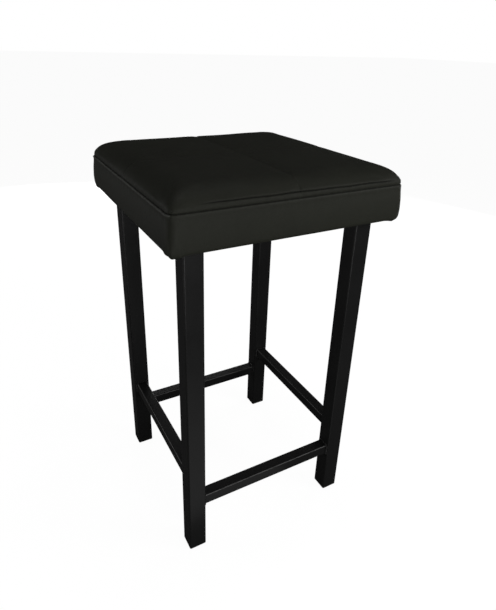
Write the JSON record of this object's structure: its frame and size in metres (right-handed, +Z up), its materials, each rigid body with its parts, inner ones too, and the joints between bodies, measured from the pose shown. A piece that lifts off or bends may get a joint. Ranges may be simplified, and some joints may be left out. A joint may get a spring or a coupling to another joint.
{
  "type": "bar stool with footrest",
  "caption": "Backless counter stool: welded square steel tube frame with low rails as footrests and a square boxed vinyl seat pad.",
  "frame": {"origin": "on the floor under the middle of the seat", "axes": "+Z up; -Y towards the front, where the low footrest rail is; +X to the sitter's left as they face the front"},
  "size_m": [0.358, 0.358, 0.6148],
  "materials": {
    "frame_paint": "satin",
    "cap_plastic": "matte",
    "vinyl": "satin",
    "foam": "matte",
    "plywood": "matte",
    "dust_cloth": "matte",
    "zinc_steel": "satin"
  },
  "bodies": {
    "root": {"leg_front_left": "frame_paint", "leg_front_right": "frame_paint", "leg_back_left": "frame_paint", "leg_back_right": "frame_paint", "footrest_front": "frame_paint", "rail_back": "frame_paint", "rail_left": "frame_paint", "rail_right": "frame_paint", "top_bar_front": "frame_paint", "top_bar_back": "frame_paint", "top_bar_left": "frame_paint", "top_bar_right": "frame_paint", "foot_cap_front_left": "cap_plastic", "foot_cap_front_right": "cap_plastic", "foot_cap_back_left": "cap_plastic", "foot_cap_back_right": "cap_plastic", "weld_beads": "frame_paint", "seat_board": "plywood", "foam_pad": "foam", "cover_band": "vinyl", "cover_panel_front_left": "vinyl", "cover_panel_front_right": "vinyl", "cover_panel_back_left": "vinyl", "cover_panel_back_right": "vinyl", "dust_cover": "dust_cloth", "seat_screws": "zinc_steel", "washers": "zinc_steel", "tee_nuts": "zinc_steel", "staples": "zinc_steel"}
  },
  "joints": []
}
